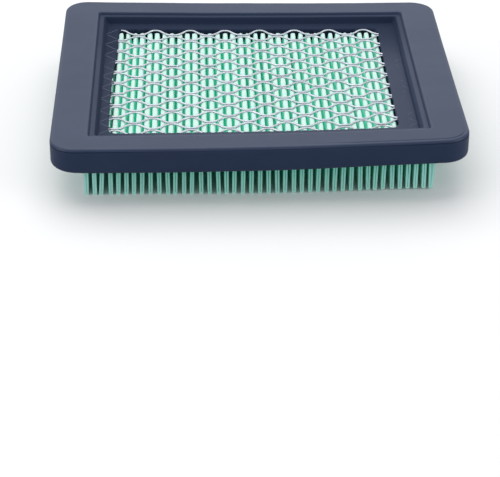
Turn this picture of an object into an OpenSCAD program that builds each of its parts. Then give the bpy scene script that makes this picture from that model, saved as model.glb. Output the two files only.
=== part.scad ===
// Flat panel air filter element for a small engine.
// A moulded rubber frame holds one folded sheet of paper under a metal screen.
// Origin: centre of the bounding box's bottom face, +Z towards the screen.

/* [Frame] */
// Width of the frame, along X
frame_w = 131; // [120:0.5:150]
// Depth of the frame, along Y
frame_d = 112; // [102:0.5:130]
// Thickness of the frame, along Z
frame_h = 8.2; // [7:0.1:12]
// Radius of the frame's four corners, seen from above
corner_r = 8; // [4:0.5:9]
// Rounding of the frame's outer edges
edge_r = 1.2; // [0.4:0.1:2]

/* [Recess] */
// Width of the flat rim at the left and right
rim_w = 11.6; // [10:0.1:13]
// Width of the flat rim at the front and back
rim_d = 9.2; // [8:0.1:11]
// Depth of the shallow step inside the rim
step_h = 0.6; // [0.2:0.1:1]
// Width of the ledge at the bottom of the step
ledge_w = 1.9; // [1:0.1:3]
// Depth of the recess floor below the rim
recess_h = 2.7; // [1.5:0.1:4]
// Thickness of the recess floor over the screen
floor_h = 0.5; // [0.3:0.1:1]

/* [Window] */
// Width of the window in the recess floor
window_w = 90.6; // [70:0.2:96]
// Depth of the window in the recess floor
window_d = 77.6; // [60:0.2:82]
// Sideways shift of the window
window_x = -0.9; // [-1.5:0.1:1.5]
// Front to back shift of the window
window_y = -0.8; // [-1.5:0.1:1.5]
// Radius of the window's corners
window_r = 3; // [1:0.5:6]

/* [Screen] */
// Thickness of the expanded metal
screen_h = 0.5; // [0.3:0.1:0.8]
// Distance between two bonds along X, the long way of a diamond
diamond_w = 12.2; // [10:0.1:12.6]
// Distance between two bonds along Y, the short way of a diamond
diamond_d = 8.33; // [6:0.01:9]
// Width of one strand
strand_w = 0.7; // [0.5:0.05:1]
// Length of a bond, where two strands stay joined
bond_w = 1.8; // [1:0.1:3]
// Number of half diamonds along X
screen_cols = 17; // [15:1:17]
// Depth of the screen, along Y
screen_d = 83.5; // [78:0.5:90]
// Front to back shift of the screen
screen_y = -2.8; // [-4:0.1:2]

/* [Pleated paper] */
// Number of downward folds
fin_count = 43; // [30:1:43]
// Distance between two folds
fin_pitch = 2.6; // [2.3:0.05:2.6]
// Length of every fold, along Y
fin_len = 97.5; // [88:0.5:100]
// Height of the paper that shows under the frame
fin_drop = 13.3; // [8:0.1:40]
// Width of a fold across both plies
fin_w = 1.4; // [1.2:0.05:1.6]
// Thickness of the paper
paper_t = 0.5; // [0.3:0.05:0.5]
// Gap between two plies where they open at the screen
mouth_w = 1.0; // [0.6:0.05:1.2]
// Flattened edge of every fold
fold_c = 0.25; // [0.1:0.05:0.3]

/* [End seals] */
// Length of the glue line inside each fold, along Y
seal_len = 3; // [1:0.5:5]

/* [Hidden] */
$fn = 96;
cut = 1; // how far a cutting solid runs past the face that it opens

crest_z = fin_drop + frame_h - recess_h - floor_h - screen_h; // top of the paper
screen_w = screen_cols * diamond_w / 2;
hole_w = diamond_w - bond_w;
hole_d = diamond_d - 2 * strand_w;
hole_steps = 5; // straight pieces along each side of a diamond

opening_w = frame_w - 2 * rim_w; // outline of the step, where it leaves the rim
opening_d = frame_d - 2 * rim_d;
step_r = 1.5; // corner radius of the step
well_r = 1; // corner radius of the deep part of the recess

root_out = mouth_w / 2 + paper_t; // outer half width of a fold at the top
root_in = mouth_w / 2;
tip_out = fin_w / 2; // outer half width of a fold below the frame
tip_in = tip_out - paper_t;
pack_w = (fin_count - 1) * fin_pitch + 2 * root_out;

// A flat block with round corners, standing on z = 0.
module rounded_block(w, d, h, r) {
    linear_extrude(h) {
        square([w - 2 * r, d], center = true);
        square([w, d - 2 * r], center = true);
        for (x = [-1, 1], y = [-1, 1])
            translate([x * (w / 2 - r), y * (d / 2 - r)]) circle(r);
    }
}

// What a rounded edge takes off a square one.
module edge_waste() {
    difference() {
        square(edge_r + cut);
        circle(edge_r);
    }
}

// Cross-section of the frame's outermost strip, from the corner's centre outwards.
module rim_section() {
    difference() {
        square([corner_r, frame_h]);
        translate([corner_r - edge_r, frame_h - edge_r]) edge_waste();
        translate([corner_r - edge_r, edge_r]) mirror([0, 1]) edge_waste();
    }
}

// The frame's outline as a solid block with every outer edge rounded.
module frame_block() {
    core_w = frame_w - 2 * corner_r;
    core_d = frame_d - 2 * corner_r;
    translate([-core_w / 2, -core_d / 2, 0]) cube([core_w, core_d, frame_h]);
    for (turn = [0, 180]) {
        rotate(turn) translate([core_w / 2, core_d / 2, 0])
            rotate([90, 0, 0]) linear_extrude(core_d) rim_section();
        rotate(turn + 90) translate([core_d / 2, core_w / 2, 0])
            rotate([90, 0, 0]) linear_extrude(core_w) rim_section();
        rotate(turn) translate([core_w / 2, core_d / 2, 0])
            rotate_extrude(angle = 90) rim_section();
        rotate(turn) translate([-core_w / 2, core_d / 2, 0])
            rotate(90) rotate_extrude(angle = 90) rim_section();
    }
}

// The moulded frame, stepped down to a thin floor that overlaps the screen.
module frame() {
    top_z = fin_drop + frame_h;
    color("#3c4252") difference() {
        translate([0, 0, fin_drop]) frame_block();
        translate([0, 0, top_z - step_h])
            rounded_block(opening_w, opening_d, step_h + cut, step_r);
        translate([0, 0, top_z - recess_h])
            rounded_block(opening_w - 2 * ledge_w, opening_d - 2 * ledge_w, recess_h, well_r);
        translate([window_x, window_y, fin_drop])
            rounded_block(window_w, window_d, frame_h, window_r);
        translate([-screen_w / 2, screen_y - screen_d / 2, crest_z])
            cube([screen_w, screen_d, screen_h]);
        translate([-pack_w / 2, -fin_len / 2, fin_drop - cut])
            cube([pack_w, fin_len, crest_z - fin_drop + cut]);
    }
}

// One opening of the expanded metal: a pointed lens, widest at its middle.
module diamond() {
    half = [for (i = [0:hole_steps]) 2 * i / hole_steps - 1];
    upper = [for (u = half) [u * hole_w / 2, hole_d / 2 * pow(cos(90 * u), 2)]];
    lower = [for (i = [hole_steps - 1:-1:1]) [upper[i][0], -upper[i][1]]];
    polygon(concat(upper, lower));
}

// Expanded metal: rows of lenses, every other column moved by half a row.
module screen() {
    rows = ceil(screen_d / diamond_d);
    color("silver") translate([0, screen_y, crest_z]) difference() {
        translate([-screen_w / 2, -screen_d / 2, 0]) cube([screen_w, screen_d, screen_h]);
        for (col = [0:screen_cols], row = [0:rows])
            translate([(col - screen_cols / 2) * diamond_w / 2,
                       screen_d / 2 - (row + (col % 2) / 2) * diamond_d,
                       -cut])
                linear_extrude(screen_h + 2 * cut) diamond();
    }
}

// Middle of a fold, counted from the left.
function fin_x(i) = (i - (fin_count - 1) / 2) * fin_pitch;

// Underside of the sheet around one fold, from left to right.
function fin_under(x) = [
    [x - root_out, crest_z - paper_t], [x - tip_out, fin_drop],
    [x - tip_out, fold_c], [x - tip_out + fold_c, 0],
    [x + tip_out - fold_c, 0], [x + tip_out, fold_c],
    [x + tip_out, fin_drop], [x + root_out, crest_z - paper_t]
];

// Upper side of the sheet around one fold, from right to left.
function fin_over(x) = [
    [x + root_in + fold_c, crest_z], [x + root_in, crest_z - fold_c],
    [x + tip_in, fin_drop], [x + tip_in, paper_t],
    [x - tip_in, paper_t], [x - tip_in, fin_drop],
    [x - root_in, crest_z - fold_c], [x - root_in - fold_c, crest_z]
];

// Turns an X-Z outline into a bar along Y whose middle is at y.
module bar_along_y(len, y) {
    translate([0, y + len / 2, 0]) rotate([90, 0, 0]) linear_extrude(len) children();
}

// The whole filter paper: one sheet folded up and down across the frame.
module pleated_paper() {
    under = [for (i = [0:fin_count - 1]) each fin_under(fin_x(i))];
    over = [for (i = [fin_count - 1:-1:0]) each fin_over(fin_x(i))];
    right_end = [[pack_w / 2, crest_z]];
    left_end = [[-pack_w / 2, crest_z]];
    color("#9adfcb") bar_along_y(fin_len, 0)
        polygon(concat(under, right_end, over, left_end));
}

// Glue that closes every fold at one end of the paper.
module glue_lines(y) {
    for (i = [0:fin_count - 1])
        bar_along_y(seal_len, y) translate([fin_x(i), 0]) polygon([
            [-tip_in, paper_t], [tip_in, paper_t], [tip_in, fin_drop],
            [root_in, crest_z - fold_c], [-root_in, crest_z - fold_c], [-tip_in, fin_drop]
        ]);
}

module front_glue_lines() {
    color("#1f6b52") glue_lines((seal_len - fin_len) / 2);
}

module rear_glue_lines() {
    color("#1f6b52") glue_lines((fin_len - seal_len) / 2);
}

frame();
screen();
pleated_paper();
front_glue_lines();
rear_glue_lines();
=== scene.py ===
import math
import random

import bpy
from mathutils import Matrix, Vector, noise


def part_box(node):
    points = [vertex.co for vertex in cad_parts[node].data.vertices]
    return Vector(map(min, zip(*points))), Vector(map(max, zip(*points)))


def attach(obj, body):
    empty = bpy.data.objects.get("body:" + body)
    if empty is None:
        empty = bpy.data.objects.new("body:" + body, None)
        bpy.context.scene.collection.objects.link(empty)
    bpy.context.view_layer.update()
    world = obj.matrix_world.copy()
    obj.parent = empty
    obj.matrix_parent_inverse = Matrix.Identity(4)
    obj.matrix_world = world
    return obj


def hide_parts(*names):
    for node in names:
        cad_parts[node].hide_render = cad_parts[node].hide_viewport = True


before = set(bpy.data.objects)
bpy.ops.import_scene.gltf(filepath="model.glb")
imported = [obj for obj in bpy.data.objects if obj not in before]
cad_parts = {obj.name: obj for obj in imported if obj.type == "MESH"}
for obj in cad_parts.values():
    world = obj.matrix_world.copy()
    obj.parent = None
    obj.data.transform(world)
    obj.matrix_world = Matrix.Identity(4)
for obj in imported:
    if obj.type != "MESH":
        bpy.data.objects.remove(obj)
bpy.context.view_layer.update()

mm = 0.001
frameLow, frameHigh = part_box("frame")
screenLow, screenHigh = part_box("screen")
paperLow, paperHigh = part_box("pleated_paper")
glueLow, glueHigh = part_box("front_glue_lines")
halfWide = frameHigh.x
halfDeep = frameHigh.y
topZ = frameHigh.z
underZ = frameLow.z
crestZ = paperHigh.z

bpy.context.scene.view_settings.view_transform = "Standard"  # plain colours, no film curve


def smoothStep(low, high, value):
    t = min(1.0, max(0.0, (value - low) / (high - low)))
    return t * t * (3 - 2 * t)


def mix(a, b, t):
    return a + (b - a) * t


flexShape = {  # the set that the soft frame has taken, in metres
    "twist": 0.8 * mm,  # one pair of corners up, the other down
    "sag": 0.3 * mm,  # long sides hang in the middle
    "settle": 0.55 * mm,  # the frame sinks onto the paper
    "bulge": 0.9 * mm,  # the front side bows outwards
    "backRise": 0.45 * mm,  # back corners curl up
    "backFrom": 0.3,  # where that starts, as a share of the half depth
    "frontRise": 0.25 * mm,  # so does the right end of the front
    "frontFrom": 0.2,
    "frontEnds": (0.1, 0.9),  # shares of the half width
}


def flexed(point):
    x, y, z = point
    u = x / halfWide
    v = y / halfDeep
    share = smoothStep(0, underZ, z)  # the paper's lower folds stay on the floor
    bow = 1 - u * u
    shape = flexShape
    drop = shape["twist"] * u * v + shape["sag"] * bow + shape["settle"]
    drop -= shape["backRise"] * smoothStep(shape["backFrom"], 1, v) * (0.5 + 0.5 * u * u)
    drop -= shape["frontRise"] * smoothStep(shape["frontFrom"], 1, -v) * smoothStep(*shape["frontEnds"], u)
    out = shape["bulge"] * bow * max(0, -v)
    return Vector((x, y - out * share, z - drop * share))


def newObject(name, verts, faces, creaseAngle=40):
    mesh = bpy.data.meshes.new(name)
    mesh.from_pydata(verts, [], faces)
    mesh.validate()
    for face in mesh.polygons:
        face.use_smooth = True
    mesh.set_sharp_from_angle(angle=math.radians(creaseAngle))
    obj = bpy.data.objects.new(name, mesh)
    bpy.context.scene.collection.objects.link(obj)
    return obj


def addMask(obj, name, values, domain="POINT"):
    layer = obj.data.attributes.new(name, "FLOAT", domain)
    layer.data.foreach_set("value", values)


def finishPiece(obj, node, material):
    obj.data.materials.append(material)
    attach(obj, "root")
    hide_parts(node)


def addSocket(group, name, inOut, kind, value=None):
    socket = group.interface.new_socket(name=name, in_out=inOut, socket_type=kind)
    if value is not None:
        socket.default_value = value


def place(tree, kind, x, y, **settings):
    node = tree.nodes.new(kind)
    node.location = (x, y)
    for key, value in settings.items():
        setattr(node, key, value)
    return node


def makeGrainGroup():  # fine pores and flow marks, as a height and a mask
    group = bpy.data.node_groups.new("mouldGrain", "ShaderNodeTree")
    addSocket(group, "Pore Scale", "INPUT", "NodeSocketFloat", 1500.0)
    addSocket(group, "Flow Scale", "INPUT", "NodeSocketFloat", 60.0)
    addSocket(group, "Pore Share", "INPUT", "NodeSocketFloat", 0.6)
    addSocket(group, "Height", "OUTPUT", "NodeSocketFloat")
    addSocket(group, "Blotch", "OUTPUT", "NodeSocketFloat")
    inside = place(group, "NodeGroupInput", -800, 0)
    outside = place(group, "NodeGroupOutput", 500, 0)
    where = place(group, "ShaderNodeTexCoord", -800, -300)
    pores = place(group, "ShaderNodeTexNoise", -500, 150)
    pores.inputs["Detail"].default_value = 4.0
    pores.inputs["Roughness"].default_value = 0.65
    flow = place(group, "ShaderNodeTexNoise", -500, -150)
    flow.inputs["Detail"].default_value = 3.0
    flow.inputs["Distortion"].default_value = 0.6
    both = place(group, "ShaderNodeMix", 0, 100, data_type="FLOAT")
    links = group.links
    links.new(where.outputs["Object"], pores.inputs["Vector"])
    links.new(where.outputs["Object"], flow.inputs["Vector"])
    links.new(inside.outputs["Pore Scale"], pores.inputs["Scale"])
    links.new(inside.outputs["Flow Scale"], flow.inputs["Scale"])
    links.new(inside.outputs["Pore Share"], both.inputs["Factor"])
    links.new(flow.outputs["Fac"], both.inputs["A"])
    links.new(pores.outputs["Fac"], both.inputs["B"])
    links.new(both.outputs["Result"], outside.inputs["Height"])
    links.new(flow.outputs["Fac"], outside.inputs["Blotch"])
    return group


def makeDriftGroup():  # colour that wanders between two tones, with a third on a mask
    group = bpy.data.node_groups.new("toneDrift", "ShaderNodeTree")
    addSocket(group, "Tone", "INPUT", "NodeSocketColor", (0.5, 0.5, 0.5, 1))
    addSocket(group, "Second Tone", "INPUT", "NodeSocketColor", (0.4, 0.4, 0.4, 1))
    addSocket(group, "Masked Tone", "INPUT", "NodeSocketColor", (0.6, 0.6, 0.6, 1))
    addSocket(group, "Mask", "INPUT", "NodeSocketFloat", 0.0)
    addSocket(group, "Scale", "INPUT", "NodeSocketFloat", 80.0)
    addSocket(group, "Color", "OUTPUT", "NodeSocketColor")
    inside = place(group, "NodeGroupInput", -800, 0)
    outside = place(group, "NodeGroupOutput", 500, 0)
    where = place(group, "ShaderNodeTexCoord", -800, -300)
    cloud = place(group, "ShaderNodeTexNoise", -500, -150)
    cloud.inputs["Detail"].default_value = 5.0
    spread = place(group, "ShaderNodeMapRange", -300, -150)
    spread.inputs["From Min"].default_value = 0.35
    spread.inputs["From Max"].default_value = 0.65
    tones = place(group, "ShaderNodeMix", -50, 100, data_type="RGBA")
    masked = place(group, "ShaderNodeMix", 200, 100, data_type="RGBA")
    links = group.links
    links.new(where.outputs["Object"], cloud.inputs["Vector"])
    links.new(inside.outputs["Scale"], cloud.inputs["Scale"])
    links.new(cloud.outputs["Fac"], spread.inputs["Value"])
    links.new(spread.outputs["Result"], tones.inputs["Factor"])
    links.new(inside.outputs["Tone"], tones.inputs["A"])
    links.new(inside.outputs["Second Tone"], tones.inputs["B"])
    links.new(inside.outputs["Mask"], masked.inputs["Factor"])
    links.new(tones.outputs["Result"], masked.inputs["A"])
    links.new(inside.outputs["Masked Tone"], masked.inputs["B"])
    links.new(masked.outputs["Result"], outside.inputs["Color"])
    return group


grainGroup = makeGrainGroup()
driftGroup = makeDriftGroup()


def groupNode(tree, group, x, y, **values):
    node = place(tree, "ShaderNodeGroup", x, y, node_tree=group)
    for key, value in values.items():
        node.inputs[key.replace("_", " ")].default_value = value
    return node


def startMaterial(name):
    material = bpy.data.materials.new(name)
    material.use_nodes = True
    shader = material.node_tree.nodes["Principled BSDF"]
    return material, material.node_tree, shader


def maskNode(tree, name, x, y):
    return place(tree, "ShaderNodeAttribute", x, y, attribute_name=name)


def grainNode(tree, look):
    return groupNode(tree, grainGroup, -900, -300, Pore_Scale=look["poreScale"],
                     Flow_Scale=look["flowScale"], Pore_Share=look["poreShare"])


def driftNode(tree, look, maskedTone):
    return groupNode(tree, driftGroup, -600, 200, Tone=look["tone"], Second_Tone=look["secondTone"],
                     Masked_Tone=look[maskedTone], Scale=look["driftScale"])


def addBump(tree, shader, grain, look):
    bump = place(tree, "ShaderNodeBump", -250, -350)
    bump.inputs["Strength"].default_value = look["bump"]
    bump.inputs["Distance"].default_value = look["bumpDepth"]
    tree.links.new(grain.outputs["Height"], bump.inputs["Height"])
    tree.links.new(bump.outputs["Normal"], shader.inputs["Normal"])


def rangeNode(tree, value, ends, x, y):
    node = place(tree, "ShaderNodeMapRange", x, y)
    node.inputs["To Min"].default_value = ends[0]
    node.inputs["To Max"].default_value = ends[1]
    tree.links.new(value, node.inputs["Value"])
    return node


rubberFinish = {
    "tone": (0.016, 0.031, 0.076, 1),
    "secondTone": (0.019, 0.036, 0.083, 1),
    # wear and painted highlight: lighter rubber on the edges and lips
    "wearHighlightTone": (0.055, 0.070, 0.120, 1),
    # painted shade: darker rubber in the well, its grooves and the parting line
    "shadeTone": (0.007, 0.017, 0.046, 1),
    "roughness": (0.34, 0.46),
    "recessRoughness": 0.85,
    "gloss": 0.27,
    "driftScale": 70.0,
    "poreScale": 1700.0,
    "flowScale": 45.0,
    "poreShare": 0.75,
    "bump": 0.25,
    "bumpDepth": 0.12 * mm,
}


def makeRubber():
    look = rubberFinish
    material, tree, shader = startMaterial("mouldedRubber")
    # wear and painted highlight: edges and lips turn lighter, broken up by the grain
    wearHighlight = maskNode(tree, "wornEdgeHighlight", -1100, 250)
    grain = grainNode(tree, look)
    drift = driftNode(tree, look, "wearHighlightTone")
    links = tree.links
    broken = place(tree, "ShaderNodeMath", -800, 250, operation="MULTIPLY")
    links.new(wearHighlight.outputs["Fac"], broken.inputs[0])
    links.new(grain.outputs["Blotch"], broken.inputs[1])
    links.new(broken.outputs[0], drift.inputs["Mask"])
    # painted shade: the recess mask darkens the colour in the well, its grooves and the parting line
    recess = maskNode(tree, "recess", -1100, 0)
    shadedRubber = place(tree, "ShaderNodeMix", -300, 200, data_type="RGBA")
    shadedRubber.inputs["B"].default_value = look["shadeTone"]
    links.new(recess.outputs["Fac"], shadedRubber.inputs["Factor"])
    links.new(drift.outputs["Color"], shadedRubber.inputs["A"])
    links.new(shadedRubber.outputs["Result"], shader.inputs["Base Color"])
    rough = rangeNode(tree, grain.outputs["Blotch"], look["roughness"], -600, -50)
    matt = place(tree, "ShaderNodeMix", -300, -50, data_type="FLOAT")
    matt.inputs["B"].default_value = look["recessRoughness"]
    links.new(recess.outputs["Fac"], matt.inputs["Factor"])
    links.new(rough.outputs["Result"], matt.inputs["A"])
    links.new(matt.outputs["Result"], shader.inputs["Roughness"])
    shader.inputs["Specular IOR Level"].default_value = look["gloss"]
    addBump(tree, shader, grain, look)
    return material


metalFinish = {
    "tone": (0.55, 0.57, 0.63, 1),
    "secondTone": (0.66, 0.675, 0.73, 1),
    "dullTone": (0.36, 0.37, 0.42, 1),
    "dullRange": (-0.6, 1.0),
    "roughness": (0.36, 0.58),
    "driftScale": 250.0,
    "poreScale": 2500.0,
    "flowScale": 300.0,
    "poreShare": 0.5,
    "bump": 0.3,
    "bumpDepth": 0.05 * mm,
}


def makeMetal():
    look = metalFinish
    material, tree, shader = startMaterial("brightStrand")
    grain = grainNode(tree, look)
    drift = driftNode(tree, look, "dullTone")
    links = tree.links
    dull = rangeNode(tree, grain.outputs["Blotch"], look["dullRange"], -800, 250)
    links.new(dull.outputs["Result"], drift.inputs["Mask"])
    links.new(drift.outputs["Color"], shader.inputs["Base Color"])
    rough = rangeNode(tree, grain.outputs["Blotch"], look["roughness"], -400, -50)
    links.new(rough.outputs["Result"], shader.inputs["Roughness"])
    shader.inputs["Metallic"].default_value = 1.0
    addBump(tree, shader, grain, look)
    return material


paperFinish = {
    "tone": (0.565, 0.805, 0.78, 1),
    "secondTone": (0.63, 0.84, 0.735, 1),
    # painted shade: a deeper, more saturated green far down in the folds
    "gapShadeTone": (0.30, 0.86, 0.70, 1),
    # paler cut paper, with a painted highlight on the side-lit ends
    "cutLightTone": (0.52, 1.0, 0.92, 1),
    "glow": (0.007, 0.078, 0.054, 1),  # painted glow, standing in for daylight that comes through the sheet
    "roughness": (0.75, 0.9),
    "driftScale": 400.0,
    "poreScale": 1400.0,
    "flowScale": 350.0,
    "poreShare": 0.55,
    "bump": 0.35,
    "bumpDepth": 0.1 * mm,
}


def makePaper():
    look = paperFinish
    material, tree, shader = startMaterial("pleatPaper")
    # painted shade: deeper green far down in the folds
    depth = maskNode(tree, "foldShade", -1100, 250)
    # paler cut ends, with a painted highlight strongest at the sides
    cut = maskNode(tree, "cutEndLight", -1100, 50)
    grain = grainNode(tree, look)
    drift = driftNode(tree, look, "gapShadeTone")
    links = tree.links
    ends = place(tree, "ShaderNodeMix", -300, 200, data_type="RGBA")
    ends.inputs["B"].default_value = look["cutLightTone"]
    links.new(depth.outputs["Fac"], drift.inputs["Mask"])
    links.new(cut.outputs["Fac"], ends.inputs["Factor"])
    links.new(drift.outputs["Color"], ends.inputs["A"])
    links.new(ends.outputs["Result"], shader.inputs["Base Color"])
    rough = rangeNode(tree, grain.outputs["Blotch"], look["roughness"], -400, -50)
    links.new(rough.outputs["Result"], shader.inputs["Roughness"])
    # painted glow: emission where light would come through the sheet
    through = place(tree, "ShaderNodeMix", -300, -550, data_type="RGBA")
    through.inputs["A"].default_value = (0, 0, 0, 1)
    through.inputs["B"].default_value = look["glow"]
    lit = maskNode(tree, "throughLight", -1100, -550)
    links.new(lit.outputs["Fac"], through.inputs["Factor"])
    links.new(through.outputs["Result"], shader.inputs["Emission Color"])
    shader.inputs["Emission Strength"].default_value = 1.0
    material.cycles.emission_sampling = "NONE"  # too weak to light anything else
    addBump(tree, shader, grain, look)
    return material


glueFinish = {
    "tone": (0.020, 0.115, 0.085, 1),
    "secondTone": (0.035, 0.160, 0.120, 1),
    "sideLitGlueTone": (0.34, 0.80, 0.68, 1),  # painted light: pale glue in the flush end folds, which are lit from the sides
    "roughness": (0.35, 0.55),
    "driftScale": 300.0,
    "poreScale": 900.0,
    "flowScale": 200.0,
    "poreShare": 0.4,
    "bump": 0.4,
    "bumpDepth": 0.1 * mm,
}


def makeGlue():
    look = glueFinish
    material, tree, shader = startMaterial("setGlue")
    grain = grainNode(tree, look)
    drift = driftNode(tree, look, "sideLitGlueTone")
    # painted light: pale glue in the flush, side-lit end folds
    flush = maskNode(tree, "sideLitGlue", -900, 200)
    links = tree.links
    links.new(flush.outputs["Fac"], drift.inputs["Mask"])
    links.new(drift.outputs["Color"], shader.inputs["Base Color"])
    rough = rangeNode(tree, grain.outputs["Blotch"], look["roughness"], -400, -50)
    links.new(rough.outputs["Result"], shader.inputs["Roughness"])
    addBump(tree, shader, grain, look)
    return material


print("materials made")

rubber = makeRubber()
brightMetal = makeMetal()
mintPaper = makePaper()
greenGlue = makeGlue()


foldPlan = {
    "count": 43,
    "pitch": 2.6 * mm,
    "paper": 0.58 * mm,
    "mouth": 1.1 * mm,  # gap between two plies at the screen
    "width": 1.30 * mm,  # across both plies, below the frame
    "wander": 0.55 * mm,  # slow drift of the folds along the frame
    "wanderLength": 48,  # in folds
    "wanderMiddle": 19,
    "jitter": 0.05 * mm,
    "leftShift": 0.30 * mm,  # the left folds stand closer in
    "shiftFrom": (36 * mm, 46 * mm),
    "lean": 0.22 * mm,  # how far a free tip stands off its root
    "leftLean": 0.25 * mm,
    "leanFrom": (10 * mm, 50 * mm),
    "sway": 0.15 * mm,  # how far it snakes along its length
    "swayTurns": 1.2,
    "cut": (0.25, 0.9),  # brightness of the cut ends, from the middle to the sides: paler cut paper, with a painted highlight strongest at the sides
    "dimFrom": 45 * mm,  # the painted glow is dimmed in the folds left of this
    "dimShade": 0.1,
    "flushLeft": 5,  # folds that are filled flush with glue, which gets a pale painted-light tone
    "firstOpen": 0.10 * mm,
    "lastOpen": 0.45 * mm,  # the end plies spread towards the frame
    "seed": 7,
}


def planFolds():
    plan = foldPlan
    rng = random.Random(plan["seed"])
    fillRng = random.Random(plan["seed"] + 1)
    folds = []
    for i in range(plan["count"]):
        middle = (i - (plan["count"] - 1) / 2) * plan["pitch"]
        turn = 2 * math.pi * (i - plan["wanderMiddle"]) / plan["wanderLength"]
        outer = abs(middle) / (plan["count"] * plan["pitch"] / 2)
        leftLean = plan["leftLean"] * smoothStep(*plan["leanFrom"], -middle)
        fold = {
            "x": middle + plan["wander"] * math.sin(turn) + rng.uniform(-1, 1) * plan["jitter"],
            "lean": rng.gauss(0, 0.5) * plan["lean"] - leftLean,
            "sway": rng.uniform(-1, 1) * plan["sway"],
            "phase": rng.uniform(0, 2 * math.pi),
            "mouth": plan["mouth"] / 2 * rng.uniform(0.82, 1.18),
            "open": rng.uniform(-0.03, 0.04) * mm,
            "front": rng.uniform(-0.15, 0.25) * mm,
            "back": rng.uniform(-0.15, 0.15) * mm,
            "cut": mix(*plan["cut"], outer ** 3) * rng.uniform(0.85, 1.15),
        }
        fold["x"] += plan["leftShift"] * smoothStep(*plan["shiftFrom"], -middle)
        flush = i < plan["flushLeft"] or i == plan["count"] - 1
        fold["fill"] = fillRng.uniform(0.85, 1) if flush else fillRng.uniform(0, 0.15)
        fold["shade"] = plan["dimShade"] if -middle > plan["dimFrom"] else rng.uniform(0.6, 1.2)
        folds.append(fold)
    folds[0]["open"] = plan["firstOpen"]
    folds[-1]["open"] = plan["lastOpen"]
    return folds


folds = planFolds()


def foldMiddle(fold, y, z):
    free = max(0.0, 1 - z / underZ) ** 1.3  # nothing moves where the frame grips
    snake = fold["sway"] * math.sin(math.pi * y / paperHigh.y * foldPlan["swayTurns"] + fold["phase"])
    return fold["x"] + (fold["lean"] + snake) * free


screenLook = {
    "columns": 17,
    "rowPitch": 8.33 * mm / 2,
    "strands": 20,
    "width": 0.74 * mm,
    "thickness": 0.46 * mm,
    "overlap": 0.12 * mm,  # how far two strands share a bond
    "lift": 0.13 * mm,
    "wobble": 0.22 * mm,
    "freeEdge": 0.15 * mm,  # the last row stands open at the back
    "freeLift": 0.3 * mm,  # its loops lie on top of the lip
    "stepsPerColumn": 12,
    "sides": 8,
    "seed": 21,
}


def strandPoint(k, column, habit):  # habit: the strand's own offsets
    look = screenLook
    columnWide = (screenHigh.x - screenLow.x) / look["columns"]
    swing = look["rowPitch"] / 2 - look["width"] / 2 + look["overlap"]
    top = screenHigh.y - swing - look["width"] / 2
    wave = math.cos(math.pi * (column + k))
    bent = wave * (1.12 - 0.12 * wave * wave)  # slightly longer bonds than a sine
    x = screenLow.x + column * columnWide
    y = top - k * look["rowPitch"] - swing * bent
    z = (screenLow.z + screenHigh.z) / 2 + look["lift"] * wave + habit["z"]
    if k == 0:
        y += look["freeEdge"] * smoothStep(0, 1, -wave)
        z += look["freeLift"] * smoothStep(0, 1, -wave)
    drift = noise.noise(Vector((x * 60, k * 3.7, habit["phase"]))) * look["wobble"]
    return Vector((x + habit["x"], y + drift, z))


squareness = 0.7  # 1 gives a round strand, less a squarer one


def sweepTube(points, width, thickness, sides, verts, faces):
    start = len(verts)
    for i, point in enumerate(points):
        ahead = points[min(i + 1, len(points) - 1)] - points[max(i - 1, 0)]
        along = ahead.normalized()
        side = Vector((0, 0, 1)).cross(along).normalized()
        up = along.cross(side)
        for s in range(sides):
            a = 2 * math.pi * (s + 0.5) / sides
            c, d = math.cos(a), math.sin(a)
            across = math.copysign(abs(c) ** squareness, c) * width / 2
            high = math.copysign(abs(d) ** squareness, d) * thickness / 2
            verts.append(point + side * across + up * high)
    count = len(points)
    for i in range(count - 1):
        for s in range(sides):
            t = (s + 1) % sides
            a = start + i * sides
            b = a + sides
            faces.append((a + s, a + t, b + t, b + s))
    faces.append(tuple(start + s for s in reversed(range(sides))))
    last = start + (count - 1) * sides
    faces.append(tuple(last + s for s in range(sides)))


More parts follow.
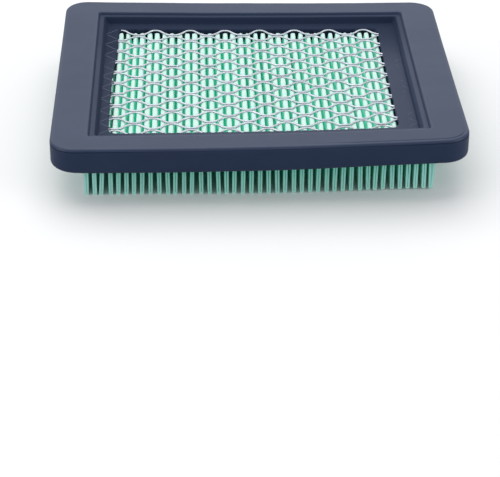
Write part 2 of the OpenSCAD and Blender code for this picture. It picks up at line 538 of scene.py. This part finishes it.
frameLook = {
    "cornerRadius": 8 * mm,
    "edgeRadius": 1.2 * mm,
    "lowerSteps": 6,
    "wallRows": (0.2, 0.4, 0.6, 0.8),
    "wallTop": 1.7 * mm,
    "upperEdge": (  # inset and depth in mm, wear with painted highlight, painted shade: parting line, then the soft lip
        (0, 1.30, 0, 0), (0.08, 1.14, 0, 0.7), (0.13, 1.00, 0, 1), (0.09, 0.88, 0, 0.7),
        (0, 0.78, 0.5, 0), (0.05, 0.56, 0.7, 0), (0.20, 0.30, 0.5, 0), (0.42, 0.11, 0.7, 0),
        (0.66, 0.03, 0.8, 0), (0.92, 0, 0.4, 0)),
    "creaseRows": ((1.15, 0.2, 0), (1.32, 0.1, 0.5), (1.45, 0, 1), (1.58, 0, 0.5)),  # inset, wear with painted highlight, depth
    "rimRows": (1.8, 2.5, 4, 5.5, 7),
    "rimSide": 11.6 * mm,
    "rimEnd": 9.2 * mm,
    "stepDepth": 0.75 * mm,
    "stepRun": 0.45 * mm,
    "ledge": 1.75 * mm,  # width of the flat between the two steps
    "wallRun": 1.0 * mm,  # draft of the inner wall
    "wellDepth": 2.85 * mm,
    "windowHalf": (46.05 * mm, 38.75 * mm),
    "windowShift": (-1.6 * mm, -0.15 * mm),
    "windowRadius": 3 * mm,
    "cornerSteps": 10,
    "longSteps": 400,
    "shortSteps": 260,
    "unevenness": 0.07 * mm,
    "unevenScales": (45, 160),
    "ragged": 0.45 * mm,
    "raggedScales": (260, 900),
    "lipReach": 1.5 * mm,  # how far from the window's outline its lip is torn
    "scallop": 0.55 * mm,  # rubber runs up between the crests
    "crease": 0.16 * mm,  # fine line near the front edge, only at the right
    "creaseAcross": (10 * mm, 32 * mm),
    "creaseBack": (9 * mm, 4 * mm),
    "lineFrom": (0.35, 0.85),  # the painted shade of the parting line fades towards the middle
    "backCornerIn": 1.2 * mm,
    "cornerInFrom": (-6 * mm, 26 * mm),
    "shadeBack": (5 * mm, 42 * mm),
    "shadeLeft": (30 * mm, 52 * mm),
    "frontHang": 0.40 * mm,  # the front's lower edge hangs at the left
    "hangEnds": (14 * mm, 45 * mm),
    "ridgeRise": 0.10 * mm,  # buried strands that show through the skin
    "ridgeWidth": 0.42 * mm,
    "ridgeThick": 0.35,  # as a share of a strand's width
    "ridgeSteps": 10,
    "ridgeSeed": 5,
}


def roundedLoop(station):
    look = frameLook
    halfW, halfD = station["half"]
    shiftX, shiftY = station.get("shift", (0, 0))
    radius = station["radius"]
    corners = [(1, 1), (-1, 1), (-1, -1), (1, -1)]
    arcs = []
    for k, (sx, sy) in enumerate(corners):
        cx = sx * (halfW - radius) + shiftX
        cy = sy * (halfD - radius) + shiftY
        arc = []
        for i in range(look["cornerSteps"] + 1):
            a = math.pi / 2 * (k + i / look["cornerSteps"])
            arc.append((cx + radius * math.cos(a), cy + radius * math.sin(a)))
        arcs.append(arc)
    points = []
    for k in range(4):
        points += arcs[k][:-1]
        start = arcs[k][-1]
        end = arcs[(k + 1) % 4][0]
        steps = look["longSteps"] if k % 2 == 0 else look["shortSteps"]
        for i in range(steps):
            points.append((mix(start[0], end[0], i / steps), mix(start[1], end[1], i / steps)))
    return points


def frameStations():
    look = frameLook
    wide, deep = halfWide, halfDeep
    corner = look["cornerRadius"]
    edge = look["edgeRadius"]
    openW = wide - look["rimSide"]
    openD = deep - look["rimEnd"]
    ledge = look["ledge"]
    winW, winD = look["windowHalf"]
    shift = look["windowShift"]
    floorZ = topZ - look["wellDepth"]
    stations = []

    def outer(inset, z, wearHighlight=0.0, crease=0.0, line=0.0):
        stations.append({"half": (wide - inset, deep - inset), "radius": corner - inset, "z": z,
                         "wearHighlight": wearHighlight, "crease": crease, "line": line})

    def inner(inset, z, radius, wearHighlight=0.0, shade=0.0):
        stations.append({"half": (openW - inset, openD - inset), "radius": radius, "z": z,
                         "wearHighlight": wearHighlight, "shade": shade})

    def window(grow, z, wearHighlight=0.0, ragged=1.0):
        stations.append({"half": (winW + grow, winD + grow), "radius": look["windowRadius"] + max(grow, 0),
                         "shift": shift, "z": z, "wearHighlight": wearHighlight, "ragged": ragged})

    window(0.3 * mm, underZ + 0.35 * mm, ragged=0.5)
    window(0.9 * mm, underZ + 0.05 * mm, ragged=0.3)
    window(4 * mm, underZ, ragged=0)
    outer(6 * mm, underZ)
    outer(3 * mm, underZ)
    for i in range(look["lowerSteps"]):
        a = math.pi / 2 * i / (look["lowerSteps"] - 1)
        outer(edge * (1 - math.sin(a)), underZ + edge * (1 - math.cos(a)), 0.5 * math.sin(2 * a))
    for share in look["wallRows"]:
        outer(0, mix(underZ + edge, topZ - look["wallTop"], share))
    outer(0, topZ - look["wallTop"])
    for inset, down, wearHighlight, line in look["upperEdge"]:
        outer(inset * mm, topZ - down * mm, wearHighlight, line=line)
    for inset, wearHighlight, crease in look["creaseRows"]:
        outer(inset * mm, topZ, wearHighlight, crease)
    for inset in look["rimRows"]:
        outer(inset * mm, topZ)
    ledgeZ = topZ - look["stepDepth"]
    run = look["stepRun"]
    inner(-0.8 * mm, topZ, 1.8 * mm)
    # wear and painted highlight on the inner lip of the step
    inner(-0.22 * mm, topZ - 0.01 * mm, 1.5 * mm, 0.5)
    inner(-0.04 * mm, topZ - 0.07 * mm, 1.3 * mm, 0.8)
    inner(0.15 * run, topZ - 0.20 * mm, 1.2 * mm, 0.2)
    # painted shade: the groove at the foot of the step is darkened
    inner(0.8 * run, ledgeZ + 0.10 * mm, 1.1 * mm, shade=0.3)
    inner(run, ledgeZ - 0.05 * mm, 1.1 * mm, shade=0.9)  # fine groove at the foot of the step
    inner(run + 0.14 * mm, ledgeZ - 0.05 * mm, 1.0 * mm, shade=0.7)
    inner(run + 0.32 * mm, ledgeZ + 0.02 * mm, 1.0 * mm)
    ledgeEnd = run + ledge
    inner(mix(run, ledgeEnd, 0.35), ledgeZ + 0.03 * mm, 1.0 * mm)
    inner(mix(run, ledgeEnd, 0.65), ledgeZ + 0.02 * mm, 1.0 * mm)
    inner(ledgeEnd - 0.30 * mm, ledgeZ - 0.02 * mm, 0.9 * mm, 0.4)
    inner(ledgeEnd - 0.08 * mm, ledgeZ - 0.12 * mm, 0.8 * mm, 0.9)
    inner(ledgeEnd + 0.05 * mm, ledgeZ - 0.32 * mm, 0.8 * mm, 0.3)
    wallEnd = ledgeEnd + look["wallRun"]
    # painted shade down the wall and at its foot
    inner(mix(ledgeEnd, wallEnd, 0.55), mix(ledgeZ, floorZ, 0.6), 0.8 * mm, shade=0.35)
    inner(wallEnd - 0.1 * mm, floorZ + 0.15 * mm, 0.8 * mm, shade=1.0)
    inner(wallEnd + 0.08 * mm, floorZ - 0.05 * mm, 0.8 * mm, shade=0.8)
    inner(wallEnd + 0.28 * mm, floorZ, 0.9 * mm)
    wellW = openW - wallEnd - 0.25 * mm
    wellD = openD - wallEnd - 0.25 * mm
    lipW = winW + 0.8 * mm
    lipD = winD + 0.8 * mm
    for share in look["wallRows"]:
        stations.append({
            "half": (mix(wellW, lipW, share), mix(wellD, lipD, share)),
            "radius": mix(0.9 * mm, look["windowRadius"] + 0.8 * mm, share),
            "shift": (shift[0] * share, shift[1] * share),
            "z": floorZ - 0.05 * mm * share, "wearHighlight": 0.0, "ragged": 0.0})
    window(0.8 * mm, floorZ - 0.06 * mm, 0, 0.5)
    window(0.35 * mm, floorZ - 0.12 * mm, 0.4, 1)
    window(0.12 * mm, floorZ - 0.26 * mm, 0.6, 1)
    window(0.0, floorZ - 0.5 * mm, 0.2, 1)
    window(0.0, floorZ - 1.1 * mm, 0, 1)
    window(0.1 * mm, mix(floorZ, underZ, 0.6), 0, 0.8)
    return stations


def raggedEdge(x, y):  # how far the window's lip stands back, along its own normal
    look = frameLook
    coarse, fine = look["raggedScales"]
    rough = look["ragged"] * noise.noise(Vector((x, y, 0)) * coarse)
    rough += 0.4 * look["ragged"] * noise.noise(Vector((x, y, 3)) * fine)
    if abs(y - look["windowShift"][1]) > look["windowHalf"][1] - look["lipReach"]:
        nearest = min(folds, key=lambda fold: abs(fold["x"] - x))
        offset = abs(nearest["x"] - x) / (foldPlan["pitch"] / 2)
        rough += look["scallop"] * (smoothStep(0.3, 0.75, offset) - 0.5)
    return rough


def leftInset(y):  # the window's left side runs in towards the back corner
    return frameLook["backCornerIn"] * smoothStep(*frameLook["cornerInFrom"], y)


def recessShade(x, y, z):  # painted shade: darker towards the back and the left, most on the left wall
    look = frameLook
    if abs(x) > halfWide - look["rimSide"] or abs(y) > halfDeep - look["rimEnd"]:
        return 0.0
    depth = topZ - z
    deep = smoothStep(0.15 * mm, look["stepDepth"] + 0.5 * mm, depth)
    toBack = smoothStep(*look["shadeBack"], y)
    toLeft = smoothStep(*look["shadeLeft"], -x)
    belowLedge = smoothStep(0.8 * mm, 1.2 * mm, depth)
    onWall = belowLedge * (1 - smoothStep(look["wellDepth"] - 0.5 * mm, look["wellDepth"], depth))
    return deep * min(1, 0.35 + 0.65 * toBack + toLeft * (0.35 + 0.4 * onWall))


def addRidges(verts, faces):
    look = frameLook
    rng = random.Random(look["ridgeSeed"])
    floorZ = topZ - look["wellDepth"] - 0.02 * mm
    thick = screenLook["width"] * look["ridgeThick"]
    steps = look["ridgeSteps"]
    columns = screenLook["columns"]
    for start, end, share in ((0.0, 0.80, 1.0), (columns - 0.62, columns, 0.35)):  # left and right
        for k in range(screenLook["strands"]):
            habit = {"x": rng.uniform(-1, 1) * 0.15 * mm, "z": 0, "phase": rng.uniform(0, 50)}
            rise = look["ridgeRise"] * rng.uniform(0.55, 1.1)
            rise *= share if rng.random() < 0.75 else 0.5 * share
            points = []
            for i in range(steps + 1):
                spot = strandPoint(k, mix(start, end, i / steps), habit)
                fade = math.sin(math.pi * min(1, 0.12 + i / (steps - 1)))
                points.append(flexed((spot.x, spot.y, floorZ - thick / 2 + rise * max(0.1, fade))))
            sweepTube(points, look["ridgeWidth"], thick, screenLook["sides"], verts, faces)


def tornLip(x, y, share):  # moves a point of the window's lip
    look = frameLook
    halfW, halfD = look["windowHalf"]
    back = share * raggedEdge(x, y)
    fromX = x - look["windowShift"][0]
    fromY = y - look["windowShift"][1]
    if abs(fromY) > halfD - look["lipReach"]:
        y += math.copysign(back, fromY)
    if abs(fromX) > halfW - look["lipReach"]:
        x += math.copysign(back, fromX)
    if fromX < -halfW + 3 * mm:
        x += min(1, share) * leftInset(y)
    return x, y


def localDrop(x, y, z, crease):  # the crease at the right and the hanging edge at the left
    look = frameLook
    drop = 0.0
    if crease:
        start, end = look["creaseBack"]
        along = smoothStep(-halfDeep + start, -halfDeep + end, y)
        drop = look["crease"] * crease * (smoothStep(*look["creaseAcross"], x) * along)
    if z < underZ + 2 * mm and y < -halfDeep + 4 * mm:
        start, end = look["hangEnds"]
        drop = look["frontHang"] * (1 - smoothStep(0, end, x)) * smoothStep(-halfWide, -halfWide + start, x)
    return drop


def buildFrame():
    look = frameLook
    coarse, fine = look["unevenScales"]
    stations = frameStations()
    verts = []
    wearHighlight = []
    recess = []
    for station in stations:
        for x, y in roundedLoop(station):
            if station.get("ragged", 0):
                x, y = tornLip(x, y, station["ragged"])
            z = station["z"]
            z -= localDrop(x, y, z, station.get("crease", 0))
            # painted shade: the parting line is darkened, fading towards the middle
            line = station.get("line", 0) * smoothStep(*look["lineFrom"], abs(x) / halfWide)
            # painted shade: the well, its grooves and the parting line are darkened
            recess.append(max(recessShade(x, y, z), station.get("shade", 0), line))
            spot = Vector((x, y, z))
            z += look["unevenness"] * noise.noise(spot * coarse)
            z += 0.35 * look["unevenness"] * noise.noise(spot * fine)
            verts.append(flexed((x, y, z)))
            # wear and painted highlight along the edges and lips
            wearHighlight.append(station["wearHighlight"])
    around = len(verts) // len(stations)
    faces = []
    for s in range(len(stations)):
        a = s * around
        b = ((s + 1) % len(stations)) * around
        for i in range(around):
            j = (i + 1) % around
            faces.append((a + i, a + j, b + j, b + i))
    addRidges(verts, faces)
    extra = len(verts) - len(wearHighlight)
    # the buried strands' ridges get the same wear and painted highlight
    wearHighlight += [0.9] * extra
    recess += [0.0] * extra
    obj = newObject("mouldedFrame", verts, faces, 50)
    addMask(obj, "wornEdgeHighlight", wearHighlight)
    # painted shade stored as the recess mask
    addMask(obj, "recess", recess)
    finishPiece(obj, "frame", rubber)


def buildScreen():
    look = screenLook
    rng = random.Random(look["seed"])
    verts = []
    faces = []
    total = look["columns"] * look["stepsPerColumn"]
    for k in range(look["strands"]):
        habit = {"x": rng.uniform(-1, 1) * 0.12 * mm, "z": rng.uniform(-1, 1) * 0.03 * mm,
                 "phase": rng.uniform(0, 50)}
        points = [flexed(strandPoint(k, i / look["stepsPerColumn"], habit)) for i in range(total + 1)]
        sweepTube(points, look["width"], look["thickness"], look["sides"], verts, faces)
    obj = newObject("expandedMetal", verts, faces, 60)
    finishPiece(obj, "screen", brightMetal)


paperLook = {
    "rows": 36,
    "rowGap": 2.2 * mm,  # plain rows keep this far from the window's edges
    "fingerEnd": 1.0 * mm,  # rounded stretch where a crest dives into the rubber
    "fingerDrop": 1.6 * mm,
    "fingerRows": (-0.1, 0.1, 0.35, 0.6, 0.8, 0.95, 1.1, 1.6),
    "backReach": 0.45 * mm,  # crests end this far inside the window at the back
    "frontReach": 0.05 * mm,
    "patchScale": (300, 260),  # the painted glow varies along and across
    "patchShare": 0.9,
    "leftInset": 0.7 * mm,
    "rightInset": 1.6 * mm,
    "rightRise": 0.35 * mm,
}


def frontInset(x):  # the front ends stand back towards both corners
    u = x / paperHigh.x
    return paperLook["leftInset"] * smoothStep(0, 1, -u) + paperLook["rightInset"] * smoothStep(0, 1, u)


def foldSection(fold):
    plan = foldPlan
    half = plan["pitch"] / 2
    t = plan["paper"]
    mouth = fold["mouth"]
    tip = plan["width"] / 2
    spread = fold["open"]
    top = crestZ
    kneeOut = tip + 0.02 * mm + spread
    shoulder = mouth + t
    left = [  # (underside, upper side) pairs from the crest down to the tip
        ((half, top - t), (half, top)),
        ((mix(shoulder, half, 0.45), top - t - 0.04 * mm), (mouth + 0.42 * mm, top - 0.01 * mm)),
        ((mix(shoulder, half, 0.12), top - t - 0.2 * mm), (mouth + 0.16 * mm, top - 0.11 * mm)),
        ((shoulder, top - t - 0.5 * mm), (mouth + 0.02 * mm, top - 0.34 * mm)),
        ((mix(shoulder, kneeOut, 0.25), top - 1.6 * mm), (mix(mouth, kneeOut - t, 0.25), top - 1.4 * mm)),
        ((mix(shoulder, kneeOut, 0.7), top - 3.2 * mm), (mix(mouth, kneeOut - t, 0.7), top - 3.1 * mm)),
        ((kneeOut, underZ), (kneeOut - t, underZ)),
    ]
    for share in (0.8, 0.6, 0.4, 0.2):
        out = mix(tip, kneeOut, share)
        left.append(((out, underZ * share), (out - t, underZ * share)))
    left += [
        ((tip, 0.9 * mm), (tip - t, 1.1 * mm)),
        ((tip, 0.20 * mm), (tip - t, 0.75 * mm)),
        ((tip - 0.05 * mm, 0.05 * mm), (0.06 * mm, 0.62 * mm)),
        ((tip - 0.20 * mm, 0.0), (0.03 * mm, 0.56 * mm)),
    ]
    return left


# painted shade: how far down in the folds a point lies, for the darker green
def foldShade(outside, z):
    if outside:
        return 0.15 + 0.85 * smoothStep(0.5 * mm, 9 * mm, z)
    return smoothStep(0.25 * mm, 2.2 * mm, crestZ - z)


# painted glow of the inner faces, varied fold by fold
def throughLight(i, outside, y, z):
    if outside:
        return 0.10
    fold = folds[i]
    scaleX, scaleY = paperLook["patchScale"]
    patch = noise.noise(Vector((fold["x"] * scaleX, y * scaleY, 3.1)))
    shade = min(1, fold["shade"] * (1 + paperLook["patchShare"] * patch))
    return smoothStep(0.3 * mm, 2.0 * mm, crestZ - z) * shade


def sheetPairs():
    pairs = []
    for i, fold in enumerate(folds):
        half = foldSection(fold)
        left = [(i, -u[0], u[1], -o[0], o[1]) for u, o in half]
        right = [(i, u[0], u[1], o[0], o[1]) for u, o in reversed(half)]
        if i == 0:
            left = left[3:]
        if i == len(folds) - 1:
            right = right[:-3]
        if i < len(folds) - 1:
            right = right[:-1]  # the crest's middle is made once, by the next fold
        pairs += left + right
    return pairs


def windowEdges():
    middle = frameLook["windowShift"][1]
    half = frameLook["windowHalf"][1]
    return middle - half, middle + half


def paperRows():  # places along a fold, closer together where crests dive
    low, high = windowEdges()
    look = paperLook
    rows = [mix(paperLow.y, paperHigh.y, i / look["rows"]) for i in range(look["rows"] + 1)]
    rows = [y for y in rows if min(abs(y - low), abs(y - high)) > look["rowGap"]]
    for share in look["fingerRows"]:
        rows.append(high - look["backReach"] - look["fingerEnd"] * (1 - share))
        rows.append(low + look["frontReach"] + look["fingerEnd"] * (1 - share))
    return sorted(rows)


def rowPlace(fold, y):  # each fold's own ends, with the same rows between the window's edges
    low, high = windowEdges()
    front = (fold["front"] + frontInset(fold["x"])) * min(1, max(0, (low - y) / (low - paperLow.y)))
    back = fold["back"] * min(1, max(0, (y - high) / (paperHigh.y - high)))
    return y + front + back


def crestDive(y, z, shift):  # how far a crest drops at the window's edges
    look = paperLook
    low, high = windowEdges()
    back = (y - shift - (high - look["backReach"] - look["fingerEnd"])) / look["fingerEnd"]
    front = ((low + look["frontReach"] + look["fingerEnd"]) - y) / look["fingerEnd"]
    t = min(1, max(0, back, front))
    share = smoothStep(crestZ - 4 * mm, crestZ, z)
    return look["fingerDrop"] * share * (1 - math.sqrt(1 - t * t))


def crestMiddle(i, y):
    return (foldMiddle(folds[i - 1], y, crestZ) + foldMiddle(folds[i], y, crestZ)) / 2


def buildPaper():
    look = paperLook
    pairs = sheetPairs()
    halfPitch = foldPlan["pitch"] / 2
    verts = []
    depth = []
    through = []
    rows = paperRows()
    rowCount = len(rows)
    for rowY in rows:
        for i, ux, uz, ox, oz in pairs:
            fold = folds[i]
            y = rowPlace(fold, rowY)
            lift = look["rightRise"] * smoothStep(0.2, 1, fold["x"] / paperHigh.x)
            for outside, x, z in ((True, ux, uz), (False, ox, oz)):
                if abs(x) >= halfPitch - 0.001 * mm and i > 0 and x < 0:
                    across = crestMiddle(i, y)
                else:
                    across = foldMiddle(fold, y, z) + x
                spot = flexed((across, y, z - crestDive(rowY, z, fold["front"])))
                verts.append(spot + Vector((0, 0, lift * (1 - z / crestZ))))
                # painted shade deep in the folds
                depth.append(foldShade(outside, z))
                # painted glow of the inner faces
                through.append(throughLight(i, outside, rowY, z))
    faces = []
    count = len(pairs)
    for row in range(rowCount - 1):
        a = row * count * 2
        b = a + count * 2
        for p in range(count - 1):
            u, v = 2 * p, 2 * p + 2
            faces.append((a + u, a + v, b + v, b + u))  # underside
            faces.append((a + v + 1, a + u + 1, b + u + 1, b + v + 1))  # upper side
        faces.append((a + 1, a, b, b + 1))
        end = 2 * (count - 1)
        faces.append((a + end, a + end + 1, b + end + 1, b + end))
    # cut ends: paler paper with a painted highlight, strongest at the sides
    cut = [0.0] * len(faces)
    last = (rowCount - 1) * count * 2
    for p in range(count - 1):
        u, v = 2 * p, 2 * p + 2
        faces.append((u, u + 1, v + 1, v))
        faces.append((last + v, last + v + 1, last + u + 1, last + u))
        cut += [folds[pairs[p][0]]["cut"]] * 2
    obj = newObject("foldedPaper", verts, faces, 55)
    addMask(obj, "foldShade", depth)
    addMask(obj, "throughLight", through)
    addMask(obj, "cutEndLight", cut, "FACE")
    finishPiece(obj, "pleated_paper", mintPaper)


glueLook = {
    "recess": 0.35 * mm,  # behind the cut ends
    "flushRecess": 0.0,
    "lowest": 0.75 * mm,
    "buried": 1.5 * mm,  # how far it reaches up into the frame
    "squeeze": 0.03 * mm,  # how far it runs into each ply
    "levels": 9,
    "belly": 0.15 * mm,
}


def buildGlue(name, node, sign):
    look = glueLook
    verts = []
    faces = []
    fill = []
    length = glueHigh.y - glueLow.y
    for fold in folds:
        start = len(verts)
        shift = frontInset(fold["x"]) if sign < 0 else 0
        end = paperHigh.y - mix(look["recess"], look["flushRecess"], fold["fill"]) - shift
        for level in range(look["levels"]):
            share = level / (look["levels"] - 1)
            z = mix(look["lowest"], underZ + look["buried"], share)
            gap = foldPlan["width"] / 2 - foldPlan["paper"] + fold["open"] * min(1, z / underZ)
            half = gap + look["squeeze"]
            belly = look["belly"] * (1 - fold["fill"]) * math.sin(math.pi * share)
            for back, side in ((0, -1), (0, 0), (0, 1), (1, 1), (1, -1)):
                y = sign * (end - back * length + (belly if side == 0 else 0))
                verts.append(flexed((foldMiddle(fold, y, z) + side * half, y, z)))
                fill.append(fold["fill"])
        for level in range(look["levels"] - 1):
            a = start + level * 5
            for s in range(5):
                t = (s + 1) % 5
                quad = (a + s, a + t, a + 5 + t, a + 5 + s)
                faces.append(quad if sign < 0 else quad[::-1])
        bottom = tuple(start + s for s in range(5))
        top = tuple(start + (look["levels"] - 1) * 5 + s for s in range(5))
        faces.append(bottom[::-1] if sign < 0 else bottom)
        faces.append(top if sign < 0 else top[::-1])
    obj = newObject(name, verts, faces, 40)
    # painted light: pale glue in the flush end folds
    addMask(obj, "sideLitGlue", fill)
    finishPiece(obj, node, greenGlue)


buildFrame()
print("frame made")
buildScreen()
print("screen made")
buildPaper()
print("paper made")
buildGlue("frontGlue", "front_glue_lines", -1)
buildGlue("rearGlue", "rear_glue_lines", 1)
print("glue made")


studio = {
    "floorSize": 6.0,
    "floorTone": (0.90, 0.90, 0.90, 1),
    "floorBounce": (0.40, 0.40, 0.41, 1),  # what the floor gives back to the object
    "worldTone": (0.95, 0.97, 1.0, 1),
    "worldStrength": 0.54,
    "keySize": 1.3,
    "keyPower": 6.6,
    "keyPlace": (-0.15, 0.25, 1.0),
    "backSize": (2.4, 1.3),
    "backPower": 6.4,
    "backPlace": (-0.1, 1.1, 0.70),
    "sideSize": (0.7, 0.6),
    "sidePower": 4.6,
    "sideReach": 1.15,
    "sideForward": -0.45,
    "sideHeight": 0.42,
}


def makeFloor():
    half = studio["floorSize"] / 2
    corners = [(-half, -half, 0), (half, -half, 0), (half, half, 0), (-half, half, 0)]
    obj = newObject("floor", corners, [(0, 1, 2, 3)])
    material, tree, shader = startMaterial("paleFloor")
    tree.nodes.remove(shader)
    output = tree.nodes["Material Output"]
    seen = place(tree, "ShaderNodeBsdfDiffuse", -300, 100)
    seen.inputs["Color"].default_value = studio["floorTone"]
    felt = place(tree, "ShaderNodeBsdfDiffuse", -300, -100)
    felt.inputs["Color"].default_value = studio["floorBounce"]
    path = place(tree, "ShaderNodeLightPath", -500, 200)
    both = place(tree, "ShaderNodeMixShader", 0, 0)
    tree.links.new(path.outputs["Is Camera Ray"], both.inputs["Fac"])
    tree.links.new(felt.outputs[0], both.inputs[1])
    tree.links.new(seen.outputs[0], both.inputs[2])
    tree.links.new(both.outputs[0], output.inputs["Surface"])
    obj.data.materials.append(material)


def makeLight(name, location, size, power):  # faces the middle of the floor
    lamp = bpy.data.lights.new(name, "AREA")
    lamp.shape = "RECTANGLE"
    lamp.size, lamp.size_y = size
    lamp.energy = power
    obj = bpy.data.objects.new(name, lamp)
    obj.location = location
    obj.rotation_mode = "QUATERNION"
    obj.rotation_quaternion = (-Vector(location)).to_track_quat("-Z", "Y")
    bpy.context.scene.collection.objects.link(obj)


def makeWorld():
    world = bpy.data.worlds.new("softRoom")
    world.use_nodes = True
    background = world.node_tree.nodes["Background"]
    background.inputs["Color"].default_value = studio["worldTone"]
    background.inputs["Strength"].default_value = studio["worldStrength"]
    bpy.context.scene.world = world


cameraView = {
    "lens": 133.2,  # millimetres on a 36 mm wide sensor
    "place": (-19.7 * mm, -562.15 * mm, 261.69 * mm),  # from the middle of the frame's top
    "azimuth": 1.860,  # degrees, turned right of +Y
    "down": 30.254,
    "roll": 0.138,
}


def makeCamera():
    view = cameraView
    data = bpy.data.cameras.new("camera")
    data.sensor_width = 36
    data.lens = view["lens"]
    data.clip_start = 0.01
    data.clip_end = 20
    obj = bpy.data.objects.new("camera", data)
    turn = Matrix.Rotation(math.radians(-view["azimuth"]), 4, "Z")
    tilt = Matrix.Rotation(math.radians(90 - view["down"]), 4, "X")
    roll = Matrix.Rotation(math.radians(view["roll"]), 4, "Z")
    middle = Vector((0, 0, topZ))
    obj.matrix_world = Matrix.Translation(middle + Vector(view["place"])) @ turn @ tilt @ roll
    bpy.context.scene.collection.objects.link(obj)
    bpy.context.scene.camera = obj


makeFloor()
makeWorld()
makeLight("keyLight", studio["keyPlace"], (studio["keySize"], studio["keySize"]), studio["keyPower"])
makeLight("backLight", studio["backPlace"], studio["backSize"], studio["backPower"])
for name, side in (("leftLight", -1), ("rightLight", 1)):
    spot = (side * studio["sideReach"], studio["sideForward"], studio["sideHeight"])
    makeLight(name, spot, studio["sideSize"], studio["sidePower"])
makeCamera()
print("studio made")
